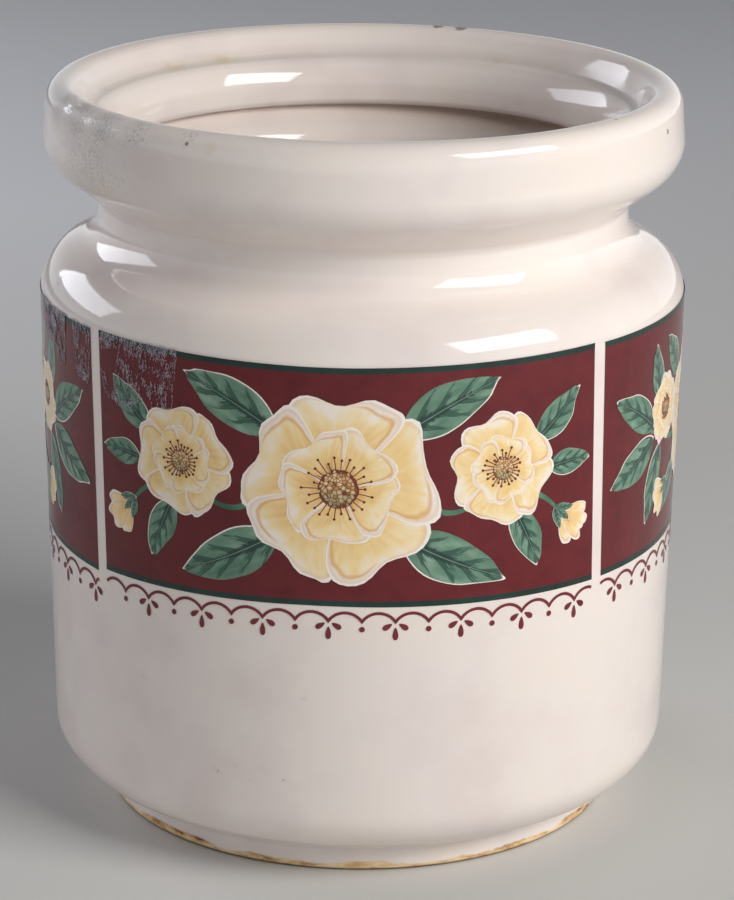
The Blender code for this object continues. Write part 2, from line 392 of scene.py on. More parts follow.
def finish_piece(name, shape, material):
    """Turn a bmesh into a named piece that rides on the canister."""
    mesh = bpy.data.meshes.new(name)
    shape.to_mesh(mesh)
    shape.free()
    mesh.shade_smooth()
    mesh.set_sharp_from_angle(angle=SMOOTH_ANGLE)
    mesh.materials.append(material)
    piece = bpy.data.objects.new(name, mesh)
    bpy.context.scene.collection.objects.link(piece)
    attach(piece, "root")
    return piece


def offset_line_radius(start, end, offset, height):
    """Radius at a height on the line start to end, moved sideways by offset to its left."""
    along = (end - start).normalized()
    moved = start + Vector((-along.y, along.x)) * offset
    return moved.x + along.x * (height - moved.y) / along.y


def offset_line_height(start, end, offset, radius):
    """Height at a radius on the line start to end, moved sideways by offset to its left."""
    along = (end - start).normalized()
    moved = start + Vector((-along.y, along.x)) * offset
    return moved.y + along.y * (radius - moved.x) / along.x


def casting_wave(angle, height):
    """How far the cast wall lies inside its true circle, a slow unevenness of a slip-cast pot."""
    place = Vector((sin(angle) * DRUM_RADIUS, cos(angle) * DRUM_RADIUS, height)) / CASTING_WAVE_LENGTH
    return CASTING_WAVE * (noise.noise(place) - 1) / 2


def outer_corners():
    """Corners of the outside as (radius, height, fillet), from the underside up to the lip."""
    foot_inner = FOOT_RADIUS - FOOT_LAND
    return [
        (0.0, FOOT_RECESS_DEPTH, 0.0),
        (foot_inner - FOOT_RECESS_DRAFT, FOOT_RECESS_DEPTH, 0.0),
        (foot_inner, 0.0, FOOT_EDGE_FILLET),
        (FOOT_RADIUS, 0.0, FOOT_EDGE_FILLET),
        (*CREASE, CREASE_FILLET),
        (*HEEL, HEEL_FILLET),
        (*SHOULDER, SHOULDER_FILLET),
        (*NECK_LOW, NECK_LOW_FILLET),
        (*NECK_HIGH, NECK_HIGH_FILLET),
        (*COLLAR_LOW, COLLAR_LOW_FILLET),
        (COLLAR_TOP_RADIUS, HEIGHT, LIP_OUTER_FILLET),
        (LIP_BORE_RADIUS, HEIGHT, LIP_INNER_FILLET),
    ]


def inner_corners():
    """Corners of the hollow as (radius, height, fillet), from below the lip to the floor's centre."""
    groove_radius = LIP_BORE_RADIUS - GROOVE_SET_IN
    flange_radius = groove_radius - SEAT_WIDTH
    pocket_radius = flange_radius + POCKET_REACH
    neck_bore = NECK_RADIUS - WALL
    drum_bore = offset_line_radius(HEEL, SHOULDER, WALL, SHOULDER.y)
    heel_bore = offset_line_radius(HEEL, SHOULDER, WALL, HEEL.y)
    floor_height = FOOT_RECESS_DEPTH + BASE_THICKNESS
    pocket_height = offset_line_height(NECK_HIGH, COLLAR_LOW, POCKET_WALL, pocket_radius)
    bore_height = offset_line_height(NECK_HIGH, COLLAR_LOW, POCKET_WALL, neck_bore)
    neck_height = offset_line_height(SHOULDER, NECK_LOW, WALL, neck_bore)
    shoulder_height = offset_line_height(SHOULDER, NECK_LOW, WALL, drum_bore)
    heel_height = offset_line_height(CREASE, HEEL, WALL, heel_bore)
    return [
        (groove_radius, GROOVE_HEIGHT, GROOVE_FILLET),
        (groove_radius - GROOVE_WIDTH, GROOVE_HEIGHT - GROOVE_FALL, GROOVE_EDGE_FILLET),
        (flange_radius + FLANGE_TAPER, GROOVE_HEIGHT - SEAT_DROP, SEAT_FILLET),
        (flange_radius, FLANGE_FOOT, FLANGE_FILLET),
        (pocket_radius, pocket_height, POCKET_FILLET),
        (neck_bore, bore_height, BORE_FILLET),
        (neck_bore, neck_height, NECK_LOW_FILLET + WALL),
        (drum_bore, shoulder_height, SHOULDER_FILLET - WALL),
        (heel_bore, heel_height, HOLLOW_HEEL_FILLET),
        (heel_bore - FLOOR_SET_IN, floor_height, FLOOR_FILLET),
        (0.0, floor_height, 0.0),
    ]


def fillet_setbacks(corners):
    """How far each corner's round reaches along its two sides, limited by their lengths."""
    points = [Vector(corner[:2]) for corner in corners]
    setbacks = [0.0] * len(corners)
    for i in range(1, len(corners) - 1):
        turn = pi - (points[i - 1] - points[i]).angle(points[i + 1] - points[i])
        setbacks[i] = corners[i][2] * tan(turn / 2)
    room = []
    for i in range(len(corners) - 1):
        usable = SIDE_USE * (points[i + 1] - points[i]).length
        room.append(usable / max(setbacks[i] + setbacks[i + 1], usable))
    shares = [1.0] + [min(pair) for pair in zip(room, room[1:])] + [1.0]
    return [setback * share for setback, share in zip(setbacks, shares)]


def glazed_body(material):
    """The cast body: a wire outline, rounded at its corners, spun about the axis and slightly uneven."""
    shape = bmesh.new()
    corners = outer_corners() + inner_corners()
    outline = [shape.verts.new((radius, 0.0, height)) for radius, height, fillet in corners]
    for pair in zip(outline, outline[1:]):
        shape.edges.new(pair)
    for corner, setback in zip(outline, fillet_setbacks(corners)):
        if setback:
            bmesh.ops.bevel(
                shape, geom=[corner], offset=setback, offset_type="OFFSET", affect="VERTICES",
                segments=ROUND_SEGMENTS, profile=0.5, material=-1,
            )
    for edge in list(shape.edges):
        cuts = ceil(edge.calc_length() / LONGEST_EDGE) - 1
        if cuts:
            bmesh.ops.subdivide_edges(shape, edges=[edge], cuts=cuts)
    bmesh.ops.spin(
        shape, geom=shape.verts[:] + shape.edges[:], cent=(0, 0, 0), axis=(0, 0, 1), dvec=(0, 0, 0),
        angle=2 * pi, steps=TURN_STEPS, use_merge=True, use_duplicate=False,
    )
    bmesh.ops.remove_doubles(shape, verts=shape.verts, dist=MERGE_DISTANCE)
    bmesh.ops.recalc_face_normals(shape, faces=shape.faces)
    for vert in shape.verts:
        radius = hypot(vert.co.x, vert.co.y)
        if radius > MM:
            angle = Vector((0, -1)).angle_signed(vert.co.xy)
            vert.co.xy *= 1 + casting_wave(-angle, vert.co.z) / radius
    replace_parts(finish_piece("glazed_canister", shape, material), "canister_body")


def pulled(x, z, pulls):
    """Where a place on a flat design went as its wet transfer was laid a little out of square.

    Each pull grows from nothing at its start to its whole size at its end, and moves that end's top
    and foot by so many millimetres.
    """
    spot = Vector((x, z))
    level = (z - PANEL_BOTTOM) / PANEL_HEIGHT
    for start, end, top, foot in pulls:
        share = max(0.0, (x / MM - start) / (end - start))
        spot += share * (level * Vector(top) + (1 - level) * Vector(foot)) * MM
    return spot


def fire_on(name, shape, middle, material, pulls=()):
    """Thicken a flat design inwards, bend it round the drum with its X = 0 at an angle, and finish it.

    The design lies in X and Z, and its -Y is how far it stands off the wall.
    """
    bmesh.ops.solidify(shape, geom=shape.faces[:], thickness=FILM)
    for vert in shape.verts:
        x, z = pulled(vert.co.x, vert.co.z, pulls)
        angle = middle + x / DRUM_RADIUS
        radius = offset_line_radius(HEEL, SHOULDER, 0.0, z) + casting_wave(angle, z) - vert.co.y
        vert.co = Vector((sin(angle) * radius, -cos(angle) * radius, z))
    bmesh.ops.recalc_face_normals(shape, faces=shape.faces)
    return finish_piece(name, shape, material)


def flake(shape, spot, lean, length, width):
    """Add one flat sliver of paper, by its place, lean, length and width in millimetres."""
    place = Matrix.Translation((spot.x * MM, -RESIDUE_LIFT, spot.y * MM))
    turn = Matrix.Rotation(pi / 2, 4, "X") @ Matrix.Rotation(lean, 4, "Z")
    size = Matrix.Diagonal((width * MM, length * MM, 1.0, 1.0))
    bmesh.ops.create_circle(
        shape, cap_ends=True, segments=FIBRE_SIDES, radius=0.5, matrix=place @ turn @ size,
    )


def flat_strip(shape, left, right, bottom, top, lift):
    """Add a flat grid in X and Z, facing the front."""
    columns = max(1, ceil((right - left) / PANEL_CELL))
    rows = max(1, ceil((top - bottom) / (2 * PANEL_CELL)))
    made = bmesh.ops.create_grid(shape, x_segments=columns, y_segments=rows, size=0.5)
    turn = Matrix.Rotation(pi / 2, 4, "X")
    size = Matrix.Diagonal((right - left, 1.0, top - bottom, 1.0))
    place = Matrix.Translation(((left + right) / 2, -lift, (bottom + top) / 2))
    bmesh.ops.transform(shape, matrix=place @ size @ turn, verts=made["verts"])


def ribbon(shape, points, start_width, end_width, lift):
    """Add a flat band along points in X and Z: a grid one cell wide, its columns moved to the points."""
    last = len(points) - 1
    made = bmesh.ops.create_grid(shape, x_segments=last, y_segments=1, size=1.0)
    for vert in made["verts"]:
        i = round((vert.co.x + 1) / 2 * last)
        onward = (points[min(i + 1, last)] - points[min(i, last - 1)]).normalized()
        before = (points[max(i, 1)] - points[max(i - 1, 0)]).normalized()
        along = (before + onward).normalized()
        width = start_width + (end_width - start_width) * i / last
        spot = points[i] + Vector((-along.y, along.x)) * vert.co.y * width / 2 / along.dot(onward)
        vert.co = (spot.x, -lift, spot.y)


def dot(shape, place, radius, sides, lift):
    """Add a small flat disc."""
    turn = Matrix.Translation((place.x, -lift, place.y)) @ Matrix.Rotation(pi / 2, 4, "X")
    bmesh.ops.create_circle(shape, cap_ends=True, segments=sides, radius=radius, matrix=turn)


def petal_form(x, y):
    """Heart-shaped petal with a narrow foot, as shares of its width and length."""
    notch = PETAL_NOTCH * exp(-((x / PETAL_NOTCH_WIDTH) ** 2)) * max(0.0, y) ** 2
    return x * (PETAL_MIDDLE + PETAL_FLARE * y) / PETAL_WIDEST, (y + 1) / 2 - notch


def leaf_form(x, y):
    """Pointed oval leaf, as shares of its width and length."""
    return x * max(0.0, 1 - y * y) ** LEAF_POINT * (1 - LEAF_TAPER * y) / LEAF_WIDEST, (y + 1) / 2


def drop_form(x, y):
    """Teardrop with its narrow end at the start, as shares of its width and length."""
    return x * (DROP_MIDDLE + DROP_FLARE * y) / DROP_WIDEST, (y + 1) / 2


def round_form(x, y):
    """Disc, as shares of its width and length."""
    return x / 2, (y + 1) / 2


def patch(shape, form, base, angle, length, width, lift, tilt=0.0, bend=0.0, ripple=0.0, cells=PATCH_CELLS):
    """Add a flat petal, leaf, drop or disc: a square grid drawn into a disc, formed, sized and placed.

    Its UV map keeps the disc, with its foot at the bottom, and "motif" is a number of its own.
    """
    disc = shape.loops.layers.uv.get("disc") or shape.loops.layers.uv.new("disc")
    motif = shape.faces.layers.float.get("motif") or shape.faces.layers.float.new("motif")
    made = bmesh.ops.create_grid(shape, x_segments=cells, y_segments=cells, size=1.0)
    number = (base.x * MOTIF_STEPS[0] + base.y * MOTIF_STEPS[1]) / MM + angle
    for vert in made["verts"]:
        u, v = vert.co.xy
        vert.co = (u * sqrt(1 - v * v / 2), v * sqrt(1 - u * u / 2), 0.0)
    for face in {face for vert in made["verts"] for face in vert.link_faces}:
        face[motif] = number
        for loop in face.loops:
            loop[disc].uv = loop.vert.co.xy / 2 + Vector((0.5, 0.5))
    turn = Matrix.Rotation(angle - pi / 2, 2)
    for vert in made["verts"]:
        x, y = vert.co.xy
        uneven = 1 + ripple * (x * x + y * y) * noise.noise(Vector((2 * x, 2 * y, number)))
        across, along = form(x * uneven, y)
        sideways = bend * length * along * (1 - along)
        spot = base + turn @ Vector((across * width + sideways, along * length * uneven))
        vert.co = (spot.x, -lift - tilt * x, spot.y)


def ground_panel(name, node, middle, half, pulls, material):
    """The maroon ground of one panel, by half its width."""
    shape = bmesh.new()
    flat_strip(shape, -half, half, PANEL_BOTTOM, PANEL_TOP, GROUND_LIFT)
    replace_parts(fire_on(name, shape, middle, material, pulls), node)


def edge_lines(name, middle, half, pulls, material):
    """The dark green lines along the top and bottom of one panel, by half its width."""
    shape = bmesh.new()
    flat_strip(shape, -half, half, PANEL_TOP - EDGE_LINE, PANEL_TOP, LINE_LIFT)
    flat_strip(shape, -half, half, PANEL_BOTTOM, PANEL_BOTTOM + EDGE_LINE, LINE_LIFT)
    fire_on(name, shape, middle, material, pulls)


def lace(name, middle, half, pulls, first_point, drops_first, material):
    """The scalloped line below one panel, cut off at its ends, over dots and groups of three drops.

    Its strip wasn't stretched where the panel above it was. It follows the panel's foot up and down, and
    is cut to the same ends.
    """
    shape = bmesh.new()
    left, right = [pulled(x, PANEL_BOTTOM, pulls).x for x in (-half, half)]
    first = left + first_point
    cusps = [first + i * SCALLOP_STEP for i in range(ceil((right - first) / SCALLOP_STEP))]
    radius = ((SCALLOP_STEP / 2) ** 2 + SCALLOP_RISE ** 2) / (2 * SCALLOP_RISE)
    centre = PANEL_BOTTOM - LACE_DROP - radius
    between = [
        x + i * SCALLOP_STEP / SCALLOP_POINTS
        for x in [first - SCALLOP_STEP] + cusps for i in range(SCALLOP_POINTS)
    ]
    points = []
    slack = SCALLOP_STEP / 100
    for x in [left] + [x for x in between if left < x < right] + [right]:
        sideways = (x - first + slack) % SCALLOP_STEP - slack - SCALLOP_STEP / 2
        points.append(Vector((x, centre + sqrt(radius ** 2 - sideways ** 2))))
    ribbon(shape, points, LACE_LINE, LACE_LINE, LINE_LIFT)
    for i, x in enumerate(cusps):
        cusp = Vector((x, PANEL_BOTTOM - LACE_DROP - SCALLOP_RISE))
        if min(x - left, right - x) < LACE_END:
            continue
        if (i % 2 == 0) == drops_first:
            for spread, start, length, width in (
                (-DROP_SPREAD, SIDE_DROP_START, SIDE_DROP_LENGTH, SIDE_DROP_WIDTH),
                (0.0, MIDDLE_DROP_START, MIDDLE_DROP_LENGTH, MIDDLE_DROP_WIDTH),
                (DROP_SPREAD, SIDE_DROP_START, SIDE_DROP_LENGTH, SIDE_DROP_WIDTH),
            ):
                way = spread - pi / 2
                base = cusp + Vector((cos(way), sin(way))) * start
                patch(shape, drop_form, base, way, length, width, LINE_LIFT, cells=DROP_CELLS)
        else:
            dot(shape, cusp - Vector((0.0, DOT_DROP)), DOT_RADIUS, DOT_SIDES, LINE_LIFT)
    upright_pulls = [(start, end, (0.0, top[1]), (0.0, foot[1])) for start, end, top, foot in pulls]
    fire_on(name, shape, middle, material, upright_pulls)


def at(centre, angle, distance):
    """The point at an angle and distance from a centre."""
    return centre + Vector((cos(angle), sin(angle))) * distance


def rose(flat, x, z, radius, turn):
    """An open five-petalled rose: two rings of petals that overlap round, a button and its stamens."""
    centre = Vector((x, z))
    for i in range(PETAL_COUNT):
        for halves, foot, length, width, lift in PETAL_RINGS:
            angle = turn + i * 2 * pi / PETAL_COUNT + halves * pi / PETAL_COUNT
            patch(
                flat["petals"], petal_form, at(centre, angle, foot * radius), angle, length * radius,
                width * radius, lift, tilt=LAYER, ripple=PETAL_RIPPLE,
            )
    across = BUTTON_SHARE * radius
    patch(
        flat["buttons"], round_form, at(centre, -pi / 2, across / 2), pi / 2, across, across, CENTRE_LIFT,
        ripple=PETAL_RIPPLE,
    )
    for i in range(STAMEN_COUNT):
        angle = turn + i * 2 * pi / STAMEN_COUNT
        spread = STAMEN_SPREAD_SHARE * noise.noise(Vector((x / MM, z / MM, i * STAMEN_NOISE_STEP)))
        end = at(centre, angle, radius * (STAMEN_END_SHARE + spread - STAMEN_STAGGER_SHARE * (i % 2)))
        ribbon(
            flat["stamens"], [at(centre, angle, STAMEN_START_SHARE * radius), end],
            STAMEN_WIDTH, STAMEN_WIDTH, STAMEN_LIFT,
        )
        dot(flat["stamens"], end, ANTHER_RADIUS, ANTHER_SIDES, ANTHER_LIFT)


def bud(flat, x, z, angle, length):
    """A half-open bud of three petals in a green cup."""
    base = Vector((x, z))
    for spread, lift in ((-BUD_SPREAD, 0.0), (BUD_SPREAD, LAYER), (0.0, 2 * LAYER)):
        patch(
            flat["petals"], petal_form, base, angle + spread, length * (1 - abs(spread) / BUD_SHORTENING),
            BUD_WIDTH_SHARE * length, OUTER_PETAL_LIFT + lift, ripple=PETAL_RIPPLE,
        )
    for spread in (-SEPAL_SPREAD, SEPAL_SPREAD, 0.0):
        patch(
            flat["leaves"], leaf_form, at(base, angle, SEPAL_START_SHARE * length), angle + spread,
            SEPAL_LENGTH_SHARE * length, SEPAL_WIDTH_SHARE * length, INNER_PETAL_LIFT, ripple=LEAF_RIPPLE,
        )


def leaf(flat, x, z, angle, length, width, bend, layer):
    """One leaf, by its foot, direction, size and sideways bend."""
    patch(
        flat["leaves"], leaf_form, Vector((x, z)), angle, length, width, LEAF_LIFT + layer * LAYER,
        bend=bend, ripple=LEAF_RIPPLE,
    )


def stem(flat, start, start_pull, end_pull, end):
    """A curved stalk that thins towards its end."""
    curve = interpolate_bezier(*[Vector(p) * MM for p in (start, start_pull, end_pull, end)], STEM_POINTS)
    ribbon(flat["stems"], [Vector(p[:2]) for p in curve], STEM_WIDTH, STEM_WIDTH / 2, STEM_LIFT)


def flower_design(side, middle, pulls, design, enamels):
    """Fire one panel's roses, buds, leaves and stalks on the drum, alike on both sides of its middle."""
    flat = {kind: bmesh.new() for kind in enamels}
    for x, z, radius, turn in design["roses"]:
        for hand in ((-1, 1) if x else (1,)):
            rose(flat, hand * x * MM, z * MM, radius * MM, radians(turn * hand))
    for x, z, angle, length in design["buds"]:
        for hand in (-1, 1):
            bud(flat, hand * x * MM, z * MM, pi / 2 + hand * radians(angle - 90), length * MM)
    for layer, (x, z, angle, length, width, bend) in enumerate(design["leaves"]):
        for hand in (-1, 1):
            heading = pi / 2 + hand * radians(angle - 90)
            size = (length * MM, width * MM)
            leaf(flat, hand * x * MM, z * MM, heading, *size, -hand * bend, layer % LEAF_LAYERS)
    for points in design["stems"]:
        for hand in (-1, 1):
            stem(flat, *[(hand * x, z) for x, z in points])
    for kind, shape in flat.items():
        bmesh.ops.translate(shape, verts=shape.verts, vec=(0.0, 0.0, (PANEL_TOP + PANEL_BOTTOM) / 2))
        fire_on(side + "_" + kind, shape, middle, enamels[kind], pulls)


def label_residue(name, middle, corners, density, material):
    """Paper fibres left by one torn price label, thickest along its top, with broken lines down its sides.

    Its corners are top left, top right, bottom right and bottom left, in millimetres on a panel.
    """
    top_left, top_right, bottom_right, bottom_left = [Vector(corner) for corner in corners]
    chance = random.Random(name)
    shape = bmesh.new()
    height = (top_left - bottom_left).length
    lean = atan2(bottom_left.x - top_left.x, top_left.y - bottom_left.y)
    for _ in range(int(density * (top_right - top_left).length * height)):
        u, v = chance.random(), chance.random()
        spot = top_left.lerp(top_right, u).lerp(bottom_left.lerp(bottom_right, u), v)
        fibre = noise.noise(Vector((spot.x / FIBRE_ACROSS, spot.y / FIBRE_ALONG, 0.0)))
        patchy = noise.noise(Vector((spot.x, spot.y, PATCH_SLICE)) / FIBRE_PATCH)
        near_top = TOP_FIBRES * exp(-((v * height / TOP_BAND) ** 2))
        length, width = chance.uniform(*FIBRE_LENGTHS), chance.uniform(*FIBRE_WIDTHS)
        turn = radians(chance.gauss(0.0, FIBRE_SPREAD))
        if chance.random() < FIBRE_SHARE + fibre + patchy + near_top:
            flake(shape, spot, lean + turn, length, width)
    for start, end in ((top_left, bottom_left), (top_right, bottom_right)):
        lean = atan2(end.x - start.x, start.y - end.y)
        side = (end - start).length
        for i in range(int(side / SIDE_STEP)):
            spot = start.lerp(end, i * SIDE_STEP / side)
            nudge = Vector((chance.gauss(0.0, SIDE_JITTER), 0.0))
            length, width = chance.uniform(*FIBRE_LENGTHS), chance.uniform(*FIBRE_WIDTHS)
            turn = radians(chance.gauss(0.0, SIDE_SPREAD))
            if noise.noise(Vector((spot.x, spot.y, BREAK_SLICE)) / SIDE_GAP) > SIDE_BREAK:
                flake(shape, spot + nudge, lean + turn, length, width)
    fire_on(name, shape, middle, material)


def close_surface(tree, colour, roughness, height):
    """Surface of one colour and roughness input, made uneven by a height given in millimetres."""
    bump = add(tree, "Bump", {"Strength": 1.0, "Distance": MM}, {"Height": height})
    shader = add(
        tree, "BsdfPrincipled", {"IOR": 1.5, "Roughness": roughness},
        {"Base Color": colour, "Normal": bump},
    )
    add(tree, "OutputMaterial", links={"Surface": shader})
    return shader


def near_places(tree, place, places):
    """Soft spots round the canister, each at its whole strength in its middle and gone at its spread."""
    strongest = None
    for angle, level, radius, spread, strength in places:
        spot = Vector((sin(radians(angle)) * radius, -cos(radians(angle)) * radius, level)) * MM
        gap = add(tree, "VectorMath", {"operation": "DISTANCE", 1: spot}, {0: place})
        near = add(
            tree, "MapRange",
            {"From Min": spread * MM, "From Max": FULL_SHARE * spread * MM, "To Max": strength},
            {"Value": gap.outputs["Value"]},
        )
        if strongest:
            near = add(tree, "Math", {"operation": "MAXIMUM"}, {0: near, 1: strongest})
        strongest = near
    return strongest


def scattered_spots(tree, place, spacing, radius, free_share):
    """Small round spots, of different sizes, in some of the cells that fill space."""
    cells = add(tree, "TexVoronoi", {"Scale": 1 / spacing}, {"Vector": place})
    chance = add(tree, "SeparateXYZ", links={"Vector": cells.outputs["Color"]})
    reach = add(
        tree, "MapRange", {"From Min": free_share, "To Max": radius / spacing},
        {"Value": chance.outputs["X"]},
    )
    return add(tree, "Math", {"operation": "LESS_THAN"}, {0: cells.outputs["Distance"], 1: reach})


def cream_glaze():
    """Clear gloss glaze over cream earthenware, dipped and fired.

    Gives a warm, wet-looking white with soft cloudiness, a few iron specks, tea-brown stains in the groove,
    fine grey scuffs and small brown chips on the rim, and bare tan clay along the foot. Painted shade
    darkens and warms the hollow's side of the wall, lays a brown shade behind the flange and a grey shade
    along the groove, and a painted contact shadow runs where the foot meets the floor.
    """
    material, tree = new_material("cream_glaze")
    place = add(tree, "TexCoord").outputs["Object"]
    split = add(tree, "SeparateXYZ", links={"Vector": place})
    across, height = split.outputs["X"], split.outputs["Z"]

    cloud = add(tree, "TexNoise", {"Scale": 1 / CLOUD_SIZE, "Detail": 3.0}, {"Vector": place})
    colour = add(
        tree, "ValToRGB", {"stops": [(0.32, "E6DAD5"), (0.52, "ECE2DC"), (0.72, "EDE2D8")]}, {"Fac": cloud},
    )

    # Painted shade: the hollow's side of the wall is made a little darker and warmer
    flat = add(tree, "VectorMath", {"operation": "MULTIPLY", 1: (1.0, 1.0, 0.0)}, {0: place})
    outward = add(tree, "VectorMath", {"operation": "NORMALIZE"}, {0: flat})
    normal = add(tree, "NewGeometry").outputs["Normal"]
    facing = add(tree, "VectorMath", {"operation": "DOT_PRODUCT"}, {0: outward, 1: normal})
    inside = add(tree, "MapRange", {"From Min": -0.1, "From Max": -0.6}, {"Value": facing.outputs["Value"]})
    painted_inside_shade = add(tree, "Math", {"operation": "MULTIPLY", 1: INSIDE_SHADE_COVER}, {0: inside})

    # Painted shade: a brown shade on the wall behind the flange, strongest just under it and least on the
    # left
    brown = add(
        tree, "MapRange",
        {
            "From Min": FLANGE_FOOT - POCKET_SHADE_FALL, "From Max": FLANGE_FOOT,
            "To Max": POCKET_SHADE_COVER,
        },
        {"Value": height},
    )
    below = add(tree, "Math", {"operation": "LESS_THAN", 1: FLANGE_FOOT}, {0: height})
    rightwards = add(
        tree, "MapRange",
        {
            "From Min": -LIP_BORE_RADIUS / 5, "From Max": LIP_BORE_RADIUS / 2,
            "To Min": POCKET_SHADE_LEFT_SHARE,
        },
        {"Value": across},
    )
    for share in (below, inside, rightwards):
        brown = add(tree, "Math", {"operation": "MULTIPLY"}, {0: brown, 1: share})

    # Faint tea-brown stains on the rim and in the groove, and a dull film along the groove whose greyer
    # colour is a painted shade
    blot = add(tree, "TexNoise", {"Scale": 1 / STAIN_SIZE, "Detail": 3.0}, {"Vector": place})
    blots = add(tree, "MapRange", {"From Min": 0.30, "From Max": 0.60}, {"Value": blot})
    above_groove = add(
        tree, "Math", {"operation": "SUBTRACT", 1: GROOVE_HEIGHT + GROOVE_FILLET / 4}, {0: height},
    )
    groove_gap = add(tree, "Math", {"operation": "ABSOLUTE"}, {0: above_groove})
    lying = add(tree, "MapRange", {"From Min": STAIN_RISE, "From Max": 0.0}, {"Value": groove_gap})
    outside = add(tree, "Math", {"operation": "SUBTRACT", 0: 1.0}, {1: inside})
    lying = add(tree, "Math", {"operation": "MAXIMUM"}, {0: lying, 1: outside})
    stain = add(tree, "Math", {"operation": "MULTIPLY"}, {0: near_places(tree, place, STAINS), 1: blots})
    stain = add(tree, "Math", {"operation": "MULTIPLY"}, {0: stain, 1: lying})
    groove_film_and_shade = add(
        tree, "MapRange", {"From Min": FILM_AND_SHADE_RISE, "From Max": 0.0, "To Max": GROOVE_SHADE_COVER},
        {"Value": groove_gap},
    )
    groove_film_and_shade = add(tree, "Math", {"operation": "MULTIPLY"}, {0: groove_film_and_shade, 1: inside})

    # Iron specks
    speck = scattered_spots(tree, place, SPECK_SPACING, SPECK_RADIUS, SPECK_FREE_SHARE)
    speck = add(tree, "Math", {"operation": "MULTIPLY", 1: SPECK_COVER}, {0: speck})

    # Grey scuffs, and small chips through to the brown body, each round a named place
    rub = add(
        tree, "TexNoise", {"Scale": 1 / SCUFF_SIZE, "Detail": 4.0, "Roughness": 0.7}, {"Vector": place},
    )
    worn = add(tree, "Math", {"operation": "ADD"}, {0: near_places(tree, place, SCUFFS), 1: rub})
    worn = add(tree, "MapRange", {"From Min": 0.69, "From Max": 0.86}, {"Value": worn})
    greyed = add(tree, "Math", {"operation": "MULTIPLY", 1: SCUFF_COVER}, {0: worn})
    chipped = add(tree, "Math", {"operation": "ADD"}, {0: near_places(tree, place, CHIPS), 1: rub})
    chipped = add(
        tree, "MapRange", {"From Min": 0.95, "From Max": 1.10, "To Max": CHIP_COVER}, {"Value": chipped},
    )
    for amount, code in (
        (painted_inside_shade, "D8C6BA"), (brown, "88674A"), (stain, "D3B983"), (groove_film_and_shade, "A79B92"),
        (speck, "8A6A4C"), (greyed, "A39C96"), (chipped, "81705A"),
    ):
        colour = add(tree, "Mix", {"data_type": "RGBA", 7: srgb(code)}, {0: amount, 6: colour}).outputs[2]

    # Bare clay along the foot, with an uneven edge and brown stains that run along it
    ragged = add(tree, "TexNoise", {"Scale": 1 / CLAY_EDGE_SIZE, "Detail": 4.0}, {"Vector": place})
    edge = add(
        tree, "MapRange",
        {
            "interpolation_type": "SMOOTHSTEP",
            "From Min": 0.38, "From Max": 0.62, "To Min": CLAY_LOW, "To Max": CLAY_HIGH,
        },
        {"Value": ragged},
    )
    over = add(tree, "Math", {"operation": "SUBTRACT"}, {0: height, 1: edge})
    bare = add(tree, "MapRange", {"From Min": CLAY_LOW / 2, "From Max": 0.0}, {"Value": over})
    along = add(tree, "Mapping", {"Scale": (1.0, 1.0, CLAY_STAIN_STRETCH)}, {"Vector": place})
    grit = add(
        tree, "TexNoise", {"Scale": 1 / CLAY_STAIN_SIZE, "Detail": 6.0, "Roughness": 0.6},
        {"Vector": along},
    )
    clay = add(
        tree, "ValToRGB",
        {"stops": [
            (0.34, "EAD3AA"), (0.47, "DDBD8C"), (0.56, "C79E6A"), (0.64, "94693C"), (0.69, "553A22"),
        ]},
        {"Fac": grit},
    )
    colour = add(tree, "Mix", {"data_type": "RGBA"}, {0: bare, 6: colour, 7: clay}).outputs[2]
    # Painted contact shadow: a dark line along the foot's bottom edge, where it meets the floor
    dirt_and_contact_shadow = add(
        tree, "MapRange", {"From Min": CONTACT_SHADOW_HEIGHT, "From Max": CONTACT_SHADOW_HEIGHT / 3, "To Max": CONTACT_SHADOW_COVER},
        {"Value": height},
    )
    colour = add(tree, "Mix", {"data_type": "RGBA", 7: srgb("3E3022")}, {0: dirt_and_contact_shadow, 6: colour}).outputs[2]

    roughness = add(
        tree, "Math", {"operation": "MULTIPLY_ADD", 1: SCUFF_ROUGHENING, 2: GLAZE_ROUGHNESS}, {0: worn},
    )
    for rougher, amount in ((groove_film_and_shade, FILM_ROUGHENING), (chipped, CHIP_ROUGHENING), (bare, CLAY_ROUGHENING)):
        roughness = add(tree, "Math", {"operation": "MULTIPLY_ADD", 1: amount}, {0: rougher, 2: roughness})
    peel = add(tree, "TexNoise", {"Scale": 1 / PEEL_SIZE, "Detail": 1.0}, {"Vector": place})
    relief = add(tree, "Math", {"operation": "MULTIPLY", 1: PEEL_DEPTH}, {0: peel})
    for dent, depth in ((worn, SCUFF_DEPTH), (chipped, CHIP_DEPTH), (speck, SPECK_DEPTH)):
        relief = add(tree, "Math", {"operation": "MULTIPLY_ADD", 1: -depth}, {0: dent, 2: relief})
    shader = close_surface(tree, colour, GLAZE_ROUGHNESS, relief)
    tree.links.new(roughness.outputs[0], shader.inputs["Roughness"])
    return material


